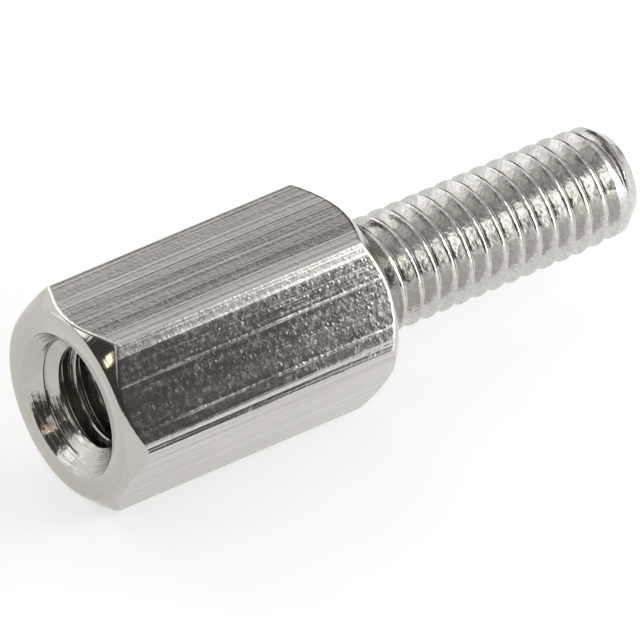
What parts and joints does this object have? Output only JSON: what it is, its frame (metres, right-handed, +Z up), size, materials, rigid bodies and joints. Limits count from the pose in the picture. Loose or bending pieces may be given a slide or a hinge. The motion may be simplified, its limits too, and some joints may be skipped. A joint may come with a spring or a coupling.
{
  "type": "threaded hex standoff",
  "caption": "Nickel-plated brass hexagonal standoff: a countersunk tapped hole in one end and a threaded stud on the other, to hold a board off a panel.",
  "frame": {"origin": "on the axis, in the plane of the shoulder that the stud stands on, which is the face that seats on a board or panel", "axes": "+X along the axis from the hexagon towards the tip of the stud, +Z up and square to the flat that the piece lies on, +Y across"},
  "size_m": [0.016, 0.0058, 0.005],
  "materials": {
    "nickel_plate": "gloss"
  },
  "bodies": {
    "root": {"standoff": "nickel_plate"}
  },
  "joints": []
}
